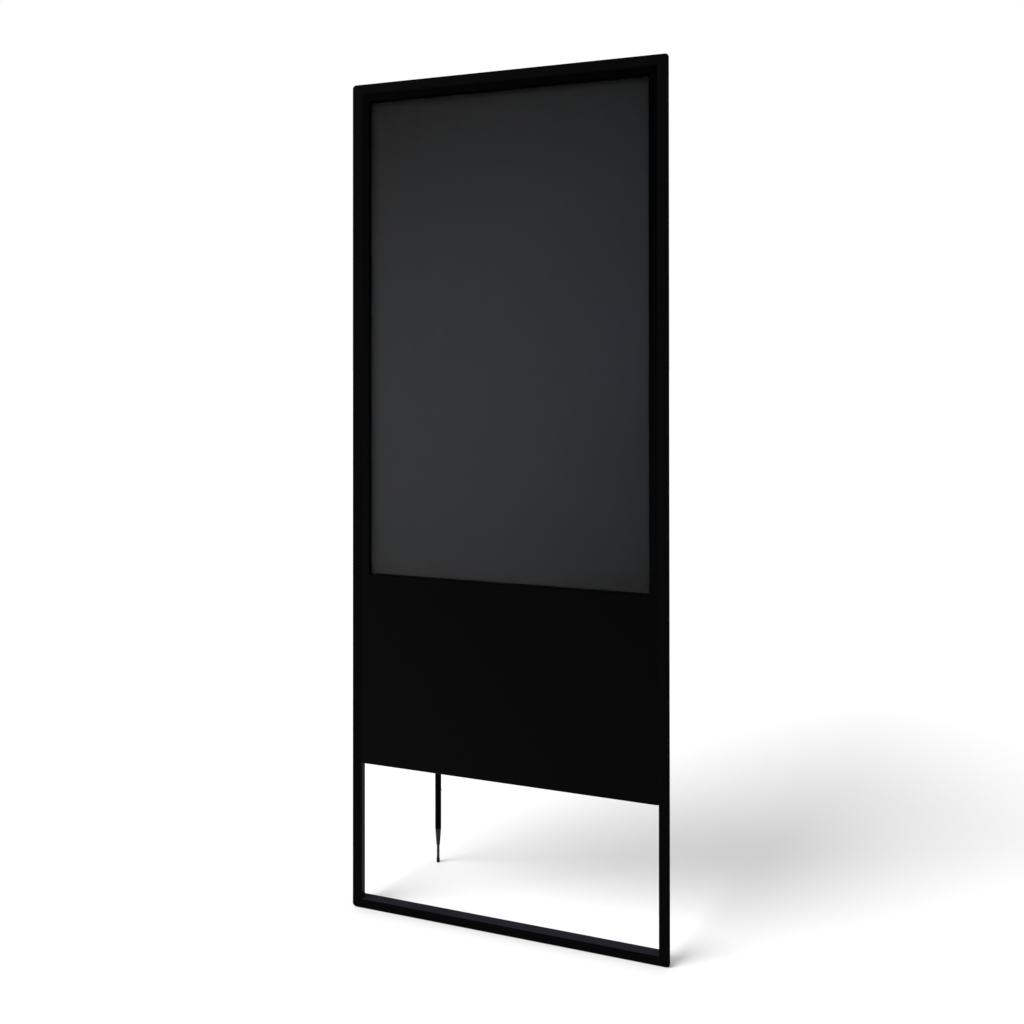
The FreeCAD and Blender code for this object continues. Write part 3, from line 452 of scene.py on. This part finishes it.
# %% Mesh helpers
def piece(name, corners, faces, finishes, body, smooth=0.6, choose=None):
    mesh = bpy.data.meshes.new(name)
    mesh.from_pydata([tuple(c) for c in corners], [], faces)
    for finish in finishes:
        mesh.materials.append(finish.material)
    obj = bpy.data.objects.new(name, mesh)
    bpy.context.scene.collection.objects.link(obj)
    tidy = bmesh.new()
    tidy.from_mesh(mesh)
    bmesh.ops.recalc_face_normals(tidy, faces=tidy.faces)
    if choose:
        for face in tidy.faces:
            face.material_index = choose(face)
    tidy.to_mesh(mesh)
    tidy.free()
    mesh.shade_smooth()
    mesh.set_sharp_from_angle(angle=smooth)
    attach(obj, body)
    return obj


CORNER_STEPS = 6


def rounded_outline(x0, x1, z0, z1, radius):
    points = []
    for cx, cz, start in ((x1 - radius, z1 - radius, 0), (x0 + radius, z1 - radius, 90),
                          (x0 + radius, z0 + radius, 180), (x1 - radius, z0 + radius, 270)):
        for k in range(CORNER_STEPS + 1):
            turn = math.radians(start + 90.0 * k / CORNER_STEPS)
            points.append((cx + radius * math.cos(turn), cz + radius * math.sin(turn)))
    return points


def lathe(profile, steps, place, axis):
    corners, rings = [], []
    spin = Vector((0, 0, 1)).rotation_difference(Vector(axis))
    for radius, height in profile:
        ring = []
        for k in range(steps if radius > 0 else 1):
            turn = 2 * math.pi * k / steps
            ring.append(len(corners))
            point = Vector((radius * math.cos(turn), radius * math.sin(turn), height))
            corners.append(Vector(place) + spin @ point)
        rings.append(ring)
    faces = []
    for low, high in zip(rings, rings[1:]):
        for k in range(steps):
            n = (k + 1) % steps
            quad = [low[k % len(low)], low[n % len(low)], high[n % len(high)], high[k % len(high)]]
            face = list(dict.fromkeys(quad))
            if len(face) > 2:
                faces.append(face)
    return corners, faces


def bands(count, levels):
    """Faces that join each outline of `count` corners to the next one up."""
    found = []
    for level in range(levels):
        for k in range(count):
            n = (k + 1) % count
            found.append([level * count + k, level * count + n,
                          (level + 1) * count + n, (level + 1) * count + k])
    return found


def islands(name, reach=0.006):
    """Boxes round the clusters of corners in a node. A long screw gives two: its head and its tip."""
    groups = []
    for corner in {tuple(round(c, 4) for c in v.co) for v in NODES[name].data.vertices}:
        point = Vector(corner)
        near = [g for g in groups
                if all(g[0][k] - reach <= point[k] <= g[1][k] + reach for k in range(3))]
        lo = [min([point[k]] + [g[0][k] for g in near]) for k in range(3)]
        hi = [max([point[k]] + [g[1][k] for g in near]) for k in range(3)]
        groups = [g for g in groups if g not in near] + [(lo, hi)]
    merged = []
    for lo, hi in groups:
        for other in [m for m in merged
                      if all(m[0][k] - reach <= hi[k] and lo[k] <= m[1][k] + reach for k in range(3))]:
            merged.remove(other)
            lo = [min(lo[k], other[0][k]) for k in range(3)]
            hi = [max(hi[k], other[1][k]) for k in range(3)]
        merged.append((lo, hi))
    return [(Vector(lo), Vector(hi)) for lo, hi in merged]


# %% [markdown]
# ### The front glass
# Real front glass has its edges ground to a narrow 45 degree face, which catches a thin line of
# light all round. That narrow face is geometry here, not a trick of the shader: the sheet is built
# as four outlines, the first drawn in by the width of the ground edge.

# %% Front glass
glass_lo, glass_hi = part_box("touch_glass")
GROUND, GLASS_CORNER = 0.0006, 0.0016
rings = []
for inset, depth in ((GROUND, glass_lo.y), (0.0, glass_lo.y + GROUND), (0.0, glass_hi.y - GROUND),
                     (GROUND, glass_hi.y)):
    rings.append([(px, depth, pz) for px, pz in rounded_outline(
        glass_lo.x + inset, glass_hi.x - inset, glass_lo.z + inset, glass_hi.z - inset,
        GLASS_CORNER - inset)])
count = len(rings[0])
corners = [c for ring in rings for c in ring]
faces = [list(range(count)), list(range(3 * count, 4 * count))] + bands(count, 3)
front_glass = piece("front_glass", corners, faces, [clear_print, edge_glass], "frame", 0.3,
                    lambda face: 0 if abs(face.normal.y) > 0.95 else 1)
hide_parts("touch_glass")
print("front glass", len(corners), "corners")

# %% [markdown]
# A sheet of glass this long is never tight against steel: a thin cord of black foam closes the gap
# down each side, so that no daylight shows round the edge. It is a long strip with a rounded face.

# %% Foam cords beside the glass
CORD_OVER_GLASS, CORD_INTO_POST = 0.0009, 0.0001
CORD_SET_BACK, CORD_CROWN, CORD_SHORT = 0.0012, 0.0003, 0.0004


def foam_cord(side):
    post_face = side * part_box("right_post")[0].x
    inner, outer = post_face - side * CORD_OVER_GLASS, post_face + side * CORD_INTO_POST
    y0, y1 = glass_lo.y + CORD_SET_BACK, glass_hi.y + CORD_SET_BACK
    middle = (inner + outer) / 2
    line = [(inner, y0), (middle, y0 - CORD_CROWN), (outer, y0), (outer, y1), (inner, y1)]
    low, high = glass_lo.z + CORD_SHORT, glass_hi.z - CORD_SHORT
    corners = [(px, py, level) for level in (low, high) for px, py in line]
    faces = [list(range(5)), list(range(5, 10))]
    faces += [[k, (k + 1) % 5, (k + 1) % 5 + 5, k + 5] for k in range(5)]
    return corners, faces


for side, label in ((-1, "left"), (1, "right")):
    corners, faces = foam_cord(side)
    piece("foam_cord_" + label, corners, faces, [rubber], "frame", 0.6)

# %% [markdown]
# ### Screws with Geometry Nodes
# The housing is held by rows of button-head screws. One good screw is modelled once, as a lathe
# profile with a six-sided socket, and a Geometry Nodes tree sets a copy on every point of a
# cloud of screw positions, each turned by a random angle from a fixed seed, because no two screws
# stop at the same turn. The same tree serves all the rows.

# %% A button-head screw
HEAD_PROFILE = ((1.0, 0.0), (1.0, 0.10), (0.95, 0.45), (0.82, 0.78), (0.62, 0.96), (0.5, 1.0))
SOCKET_SHARE, SOCKET_FLOOR = 0.42, 0.35


def screw_mesh(name, radius, height):
    steps = 24
    corners, rings = [], []
    for share, rise in HEAD_PROFILE:
        rings.append([len(corners) + k for k in range(steps)])
        for k in range(steps):
            turn = 2 * math.pi * k / steps
            corners.append((radius * share * math.cos(turn), radius * share * math.sin(turn), height * rise))
    for rise in (1.0, SOCKET_FLOOR):
        rings.append([len(corners) + k for k in range(steps)])
        for k in range(steps):
            turn = 2 * math.pi * k / steps
            flat = math.cos(math.pi / 6) / math.cos((turn % (math.pi / 3)) - math.pi / 6)
            socket = radius * SOCKET_SHARE * flat
            corners.append((socket * math.cos(turn), socket * math.sin(turn), height * rise))
    faces = [rings[0][::-1], rings[-1]]
    for low, high in zip(rings, rings[1:]):
        for k in range(steps):
            n = (k + 1) % steps
            faces.append([low[k], low[n], high[n], high[k]])
    mesh = bpy.data.meshes.new(name)
    mesh.from_pydata(corners, [], faces)
    mesh.shade_smooth()
    mesh.set_sharp_from_angle(angle=0.7)
    return mesh


# %% Helpers for Geometry Nodes trees
class Tree:
    """A Geometry Nodes tree with named inputs, ending in Realize Instances and Set Material."""

    def __init__(self, name, inputs):
        self.group = bpy.data.node_groups.new(name, "GeometryNodeTree")
        face = self.group.interface
        face.new_socket("Geometry", in_out="INPUT", socket_type="NodeSocketGeometry")
        self.ids = {}
        for label, kind in inputs.items():
            self.ids[label] = face.new_socket(label, in_out="INPUT", socket_type=kind).identifier
        face.new_socket("Geometry", in_out="OUTPUT", socket_type="NodeSocketGeometry")
        self.start = self.group.nodes.new("NodeGroupInput")
        self.end = self.group.nodes.new("NodeGroupOutput")

    def given(self, label):
        return self.start.outputs[label]

    def add(self, kind, settings=None, **inputs):
        node = self.group.nodes.new(kind)
        for label, value in (settings or {}).items():
            setattr(node, label, value)
        for label, value in inputs.items():
            socket = node.inputs[label.replace("_", " ")]
            if isinstance(value, bpy.types.NodeSocket):
                self.group.links.new(value, socket)
            else:
                socket.default_value = value
        return node

    def finish(self, geometry):
        real = self.add("GeometryNodeRealizeInstances", Geometry=geometry)
        coat = self.add("GeometryNodeSetMaterial", Geometry=real.outputs[0],
                        Material=self.given("Material"))
        self.group.links.new(coat.outputs[0], self.end.inputs[0])


def grow(name, tree, base_mesh, values, finish, body, smooth=0.6):
    """Runs a tree on a base mesh and keeps the result as one plain mesh piece."""
    holder = bpy.data.objects.new(name + "_points", base_mesh)
    bpy.context.scene.collection.objects.link(holder)
    modifier = holder.modifiers.new("pattern", "NODES")
    modifier.node_group = tree.group
    for label, value in values.items():
        modifier[tree.ids[label]] = value
    modifier[tree.ids["Material"]] = finish.material
    bpy.context.view_layer.update()
    ready = holder.evaluated_get(bpy.context.evaluated_depsgraph_get())
    mesh = bpy.data.meshes.new_from_object(ready)
    holder.modifiers.remove(modifier)
    bpy.data.objects.remove(holder)
    mesh.name = name
    if not mesh.materials:
        mesh.materials.append(finish.material)
    mesh.set_sharp_from_angle(angle=smooth)
    obj = bpy.data.objects.new(name, mesh)
    bpy.context.scene.collection.objects.link(obj)
    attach(obj, body)
    print(name, len(mesh.polygons), "faces")
    return obj


def points_mesh(name, points):
    mesh = bpy.data.meshes.new(name)
    mesh.from_pydata([tuple(p) for p in points], [], [])
    return mesh


# %% Screw rows
screw_tree = Tree("screw_rows", {"Screw": "NodeSocketObject", "Facing": "NodeSocketVector",
                                 "Seed": "NodeSocketInt", "Material": "NodeSocketMaterial"})
model = screw_tree.add("GeometryNodeObjectInfo", Object=screw_tree.given("Screw"))
turn = screw_tree.add("FunctionNodeRandomValue", {"data_type": "FLOAT"}, Seed=screw_tree.given("Seed"))
turn.inputs[2].default_value, turn.inputs[3].default_value = 0.0, math.pi / 3
spin = screw_tree.add("ShaderNodeCombineXYZ", Z=turn.outputs[1])
spread = screw_tree.add("GeometryNodeInstanceOnPoints", Points=screw_tree.given("Geometry"),
                        Instance=model.outputs["Geometry"], Rotation=screw_tree.given("Facing"))
turned = screw_tree.add("GeometryNodeRotateInstances", Instances=spread.outputs[0],
                        Rotation=spin.outputs[0])
turned.inputs["Local Space"].default_value = True
screw_tree.finish(turned.outputs[0])


BACKWARDS = (-math.pi / 2, 0.0, 0.0)
LEFTWARDS = (0.0, -math.pi / 2, 0.0)
DOWNWARDS = (math.pi, 0.0, 0.0)


def set_screws(name, places, facing, radius, height, finish, body, seed):
    master = bpy.data.objects.new(name + "_screw", screw_mesh(name + "_screw", radius, height))
    bpy.context.scene.collection.objects.link(master)
    row = grow(name, screw_tree, points_mesh(name, places),
               {"Screw": master, "Facing": facing, "Seed": seed}, finish, body, 0.7)
    bpy.data.objects.remove(master)
    return row


SCREW_HEAD = 0.002


def screw_row(name, node, finish, seed):
    spots = islands(node)
    places = [((lo.x + hi.x) / 2, hi.y - SCREW_HEAD, (lo.z + hi.z) / 2) for lo, hi in spots]
    radius = (spots[0][1].x - spots[0][0].x) / 2
    row = set_screws(name, places, BACKWARDS, radius, SCREW_HEAD, finish, "frame", seed)
    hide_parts(node)
    print(name, "heads", len(places), "radius", round(radius, 4))


screw_row("cover_screw_row", "cover_screws", black_oxide, 3)
screw_row("cabinet_screw_row", "cabinet_screws", black_oxide, 5)
screw_row("bracket_screw_row", "bracket_screws", black_oxide, 7)
screw_row("plate_screw_row", "plate_screws", bright_steel, 11)

# %% [markdown]
# The fan and the two loudspeakers are held through the sheet by screws of their own: four in a
# square on the left wall, and four round each loudspeaker, seen only from below. The hinges have two
# screws in each leaf.

# %% Fan, loudspeaker and hinge screws
fan_lo, fan_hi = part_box("fan_frame")
cabinet_lo, cabinet_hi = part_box("cabinet")
FLANGE_REACH = 0.016
SIDE_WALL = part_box("rear_cover")[0].x + FLANGE_REACH
FAN_HOLE = 0.025
SHEET_SCREW, FAN_HEAD, SPEAKER_HEAD = 0.0028, 0.0016, 0.0014
LEAF_SCREW, LEAF_HEAD = 0.0024, 0.0011
LEAF_WIDE, FLAP_WIDE, EDGE, LEAF_SHARES = 0.009, 0.013, 0.0001, (0.22, 0.78)
fan_y, fan_z = (fan_lo.y + fan_hi.y) / 2, (fan_lo.z + fan_hi.z) / 2
fan_places = [(SIDE_WALL, fan_y + a * FAN_HOLE, fan_z + b * FAN_HOLE) for a in (-1, 1) for b in (-1, 1)]
set_screws("fan_screw_row", fan_places, LEFTWARDS, SHEET_SCREW, FAN_HEAD, black_oxide, "frame",
           13)

SPEAKER_HOLE = 0.025
speaker_places = []
for lo, hi in islands("speaker_frames", 0.02):
    for a in (-1, 1):
        for b in (-1, 1):
            speaker_places.append(((lo.x + hi.x) / 2 + a * SPEAKER_HOLE,
                                   (lo.y + hi.y) / 2 + b * SPEAKER_HOLE, cabinet_lo.z))
set_screws("speaker_screw_row", speaker_places, DOWNWARDS, SHEET_SCREW, SPEAKER_HEAD, black_oxide, "frame",
           17)


def leaf_places(name, from_x, to_x):
    """Two screw places for each cluster of corners, on the flat part of the node between two sides."""
    surface = max(v.co.y for v in NODES[name].data.vertices if from_x <= v.co.x <= to_x)
    found = []
    for lo, hi in islands(name, 0.02):
        for share in LEAF_SHARES:
            found.append(((from_x + to_x) / 2, surface, lo.z + share * (hi.z - lo.z)))
    return found


leaf_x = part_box("hinge_leaves")[1].x
flap_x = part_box("door_flaps")[0].x
leaf_spots = leaf_places("hinge_leaves", leaf_x - LEAF_WIDE, leaf_x + EDGE)
flap_spots = leaf_places("door_flaps", flap_x - EDGE, flap_x + FLAP_WIDE)
print("hinge screws", len(leaf_spots), "on the fixed leaves,", len(flap_spots), "on the door's flaps")
set_screws("leaf_screw_row", leaf_spots, BACKWARDS, LEAF_SCREW, LEAF_HEAD, bright_steel, "frame",
           19)
set_screws("flap_screw_row", flap_spots, BACKWARDS, LEAF_SCREW, LEAF_HEAD, bright_steel, "door",
           23)

# %% [markdown]
# ### Screens behind the air slots
# Air slots in a cover have a woven wire screen behind them, so that nothing falls in. A Geometry
# Nodes tree lays two combs of thin wires across each other for one slot block, and sets a copy at
# the middle of each block. Each wire has five sides only, because there are hundreds of them.

# %% Woven screens
screen_tree = Tree("woven_screen", {"Width": "NodeSocketFloat", "Height": "NodeSocketFloat",
                                    "Pitch": "NodeSocketFloat", "Wire": "NodeSocketFloat",
                                    "Material": "NodeSocketMaterial"})


def comb(tree, run, length, across):
    """Wires as long as one input, spread along the other; `across` turns them level."""
    half = tree.add("ShaderNodeMath", {"operation": "MULTIPLY"})
    tree.group.links.new(tree.given(run), half.inputs[0])
    half.inputs[1].default_value = -0.5
    number = tree.add("ShaderNodeMath", {"operation": "DIVIDE"})
    tree.group.links.new(tree.given(run), number.inputs[0])
    tree.group.links.new(tree.given("Pitch"), number.inputs[1])
    start = tree.add("ShaderNodeCombineXYZ", **{"Z" if across else "X": half.outputs[0]})
    step = tree.add("ShaderNodeCombineXYZ", **{"Z" if across else "X": tree.given("Pitch")})
    line = tree.add("GeometryNodeMeshLine", Count=number.outputs[0], Start_Location=start.outputs[0],
                    Offset=step.outputs[0])
    wire = tree.add("GeometryNodeMeshCylinder", {"fill_type": "NGON"}, Vertices=5, Radius=tree.given("Wire"),
                    Depth=tree.given(length))
    return tree.add("GeometryNodeInstanceOnPoints", Points=line.outputs[0], Instance=wire.outputs[0],
                    Rotation=(0.0, math.pi / 2, 0.0) if across else (0.0, 0.0, 0.0))


uprights = comb(screen_tree, "Width", "Height", False)
levels = comb(screen_tree, "Height", "Width", True)
WIRE_RADIUS, WIRE_PITCH = 0.00025, 0.0025
lift = screen_tree.add("GeometryNodeTransform", Geometry=levels.outputs[0],
                       Translation=(0.0, -2 * WIRE_RADIUS, 0.0))
woven = screen_tree.add("GeometryNodeJoinGeometry")
screen_tree.group.links.new(uprights.outputs[0], woven.inputs[0])
screen_tree.group.links.new(lift.outputs[0], woven.inputs[0])
patch = screen_tree.add("GeometryNodeInstanceOnPoints", Points=screen_tree.given("Geometry"),
                        Instance=woven.outputs[0])
screen_tree.finish(patch.outputs[0])

cover_lo, cover_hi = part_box("rear_cover")
COVER_SHEET, SLOT_LENGTH, SLOT_SPAN = 0.0012, 0.042, 0.192
LOW_INSET, TOP_INSET = 0.045, 0.060
SCREEN_GAP, SIDE_LAP, END_LAP = 0.0004, 0.008, 0.010
slot_middles = [cover_lo.z + LOW_INSET + SLOT_LENGTH / 2, cover_hi.z - TOP_INSET - SLOT_LENGTH / 2]
patches = [(side * -SIDE_WALL / 2, cover_hi.y - COVER_SHEET - SCREEN_GAP, mid) for side in (-1, 1)
           for mid in slot_middles]
screen_wire = Finish("screen_wire", (0.22, 0.22, 0.23), 0.35, Metallic=1.0)
screen_wire.put("Roughness", 0.28 + 0.2 * screen_wire.noise(800.0, 2.0))
grow("slot_screens", screen_tree, points_mesh("slot_screens", patches),
     {"Width": SLOT_SPAN + SIDE_LAP, "Height": SLOT_LENGTH + END_LAP, "Pitch": WIRE_PITCH,
      "Wire": WIRE_RADIUS}, screen_wire, "frame")

# %% [markdown]
# ### Cooling fins
# The media player cools itself through its lid, which is cast with upright fins. One fin is a tall
# wedge with a rounded crest; the tree repeats it along a line as wide as the case.

# %% Fins on the media player
player_lo, player_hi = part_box("media_player")


FIN_ROOT, FIN_TAPER, CREST_START = 0.0004, 0.34, 0.86
FIN_SLOPE, SLOPE_SHARE = 0.004, 0.4


def fin_mesh(name, thick, deep, tall):
    crest = thick * FIN_TAPER
    section = [(-thick / 2, -FIN_ROOT), (thick / 2, -FIN_ROOT), (crest, deep * CREST_START)]
    for k in range(1, 6):
        turn = math.radians(20 + 140 * k / 6)
        rise = CREST_START + (1.0 - CREST_START) * math.sin(turn)
        section.append((crest * math.cos(turn), deep * rise))
    section.append((-crest, deep * CREST_START))
    count = len(section)
    ends = ((0.0, SLOPE_SHARE), (FIN_SLOPE, 1.0), (tall - FIN_SLOPE, 1.0), (tall, SLOPE_SHARE))
    corners = [(px, py * share if py > 0 else py, level) for level, share in ends for px, py in section]
    faces = [list(range(count))[::-1], list(range(3 * count, 4 * count))] + bands(count, 3)
    mesh = bpy.data.meshes.new(name)
    mesh.from_pydata(corners, [], faces)
    mesh.shade_smooth()
    mesh.set_sharp_from_angle(angle=0.6)
    return mesh


fin_tree = Tree("cooling_fins", {"Fin": "NodeSocketObject", "Count": "NodeSocketInt",
                                 "Pitch": "NodeSocketFloat", "Material": "NodeSocketMaterial"})
fin_step = fin_tree.add("ShaderNodeCombineXYZ", X=fin_tree.given("Pitch"))
fin_line = fin_tree.add("GeometryNodeMeshLine", Count=fin_tree.given("Count"), Offset=fin_step.outputs[0])
fin_model = fin_tree.add("GeometryNodeObjectInfo", Object=fin_tree.given("Fin"))
fin_row = fin_tree.add("GeometryNodeInstanceOnPoints", Points=fin_line.outputs[0],
                       Instance=fin_model.outputs["Geometry"])
fin_block = fin_tree.add("GeometryNodeInstanceOnPoints", Points=fin_tree.given("Geometry"),
                         Instance=fin_row.outputs[0])
fin_tree.finish(fin_block.outputs[0])
FIN_PITCH, FIN_EDGE, FIN_THICK, FIN_DEEP = 0.0072, 0.010, 0.0018, 0.006
fin_count = int((player_hi.x - player_lo.x - 2 * FIN_EDGE) / FIN_PITCH) + 1
fin_tall = player_hi.z - player_lo.z - 2 * FIN_EDGE
fin_master = bpy.data.objects.new("one_fin", fin_mesh("one_fin", FIN_THICK, FIN_DEEP, fin_tall))
bpy.context.scene.collection.objects.link(fin_master)
fin_start = ((player_lo.x + player_hi.x - (fin_count - 1) * FIN_PITCH) / 2, player_hi.y,
             player_lo.z + FIN_EDGE)
grow("player_fins", fin_tree, points_mesh("player_fins", [fin_start]),
     {"Fin": fin_master, "Count": fin_count, "Pitch": FIN_PITCH}, anodised, "frame", 0.6)
bpy.data.objects.remove(fin_master)

# %% [markdown]
# ### Blank rating plate
# A machine like this has a small metal plate on its back. Here it is blank: a brushed sheet with
# rounded corners, a pressed rim and four dome rivets.

# %% Rating plate and rivets
PLATE_WIDE, PLATE_TALL, PLATE_THICK = 0.070, 0.044, 0.0007
PLATE_CORNER, PLATE_HEIGHT, PLATE_DISH = 0.003, 0.060, 0.6
plate_x, plate_z = (SIDE_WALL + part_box("service_door")[0].x) / 2, cabinet_lo.z + PLATE_HEIGHT
plate_y = cabinet_hi.y
outline = [rounded_outline(plate_x - PLATE_WIDE / 2 + inset, plate_x + PLATE_WIDE / 2 - inset,
                           plate_z - PLATE_TALL / 2 + inset, plate_z + PLATE_TALL / 2 - inset,
                           PLATE_CORNER - inset)
           for inset in (0.0, 0.0002, 0.0010, 0.0014)]
layers = [outline[0]] + outline
heights = (0.0, PLATE_THICK * 0.7, PLATE_THICK, PLATE_THICK, PLATE_THICK * PLATE_DISH)
count = len(outline[0])
corners = [(px, plate_y + up, pz) for line, up in zip(layers, heights) for px, pz in line]
faces = [list(range(count)), list(range(4 * count, 5 * count))] + bands(count, 4)
brushed = Finish("brushed_plate", (0.5, 0.5, 0.5), 0.34, Metallic=1.0)
strokes = brushed.noise(1.0, 4.0, 0.7, brushed.stretched((90.0, 4000.0, 4000.0)))
brushed.put("Roughness", 0.22 + 0.3 * strokes)
brushed.put("Base Color", brushed.blend((0.34, 0.34, 0.35), (0.6, 0.6, 0.6), strokes))
piece("rating_plate", corners, faces, [brushed], "frame", 0.5)

RIVET_RADIUS, RIVET_RISE, RIVET_ROOT, RIVET_INSET = 0.0016, 0.0007, 0.0002, 0.0045
rivet_profile = [(0.0, -RIVET_ROOT), (RIVET_RADIUS, -RIVET_ROOT)]
for k in range(6):
    turn = math.radians(90.0 * k / 5)
    rivet_profile.append((RIVET_RADIUS * math.cos(turn), RIVET_RISE * math.sin(turn)))
rivet_corners, rivet_faces = [], []
for a in (-1, 1):
    for b in (-1, 1):
        spot = (plate_x + a * (PLATE_WIDE / 2 - RIVET_INSET), plate_y + PLATE_THICK * PLATE_DISH,
                plate_z + b * (PLATE_TALL / 2 - RIVET_INSET))
        some_corners, some_faces = lathe(rivet_profile, 16, spot, (0, 1, 0))
        rivet_faces += [[n + len(rivet_corners) for n in face] for face in some_faces]
        rivet_corners += some_corners
piece("plate_rivets", rivet_corners, rivet_faces, [bright_steel], "frame", 0.5)

# %% [markdown]
# ### Floor
# A very large white sheet. It stops far beyond the picture, so no edge of it shows.

# %% Floor sheet
floor_white = Finish("floor_white", (0.63, 0.63, 0.63), 0.9, Specular_IOR_Level=0.05)
floor_white.put("Base Color", floor_white.blend((0.622, 0.622, 0.622), (0.634, 0.634, 0.634),
                                                floor_white.noise(3.0, 2.0)))
FAR = 400.0
floor_mesh = bpy.data.meshes.new("floor")
floor_mesh.from_pydata([(-FAR, -FAR, 0), (FAR, -FAR, 0), (FAR, FAR, 0), (-FAR, FAR, 0)], [],
                       [(0, 1, 2, 3)])
floor_mesh.materials.append(floor_white.material)
floor = bpy.data.objects.new("floor", floor_mesh)
bpy.context.scene.collection.objects.link(floor)
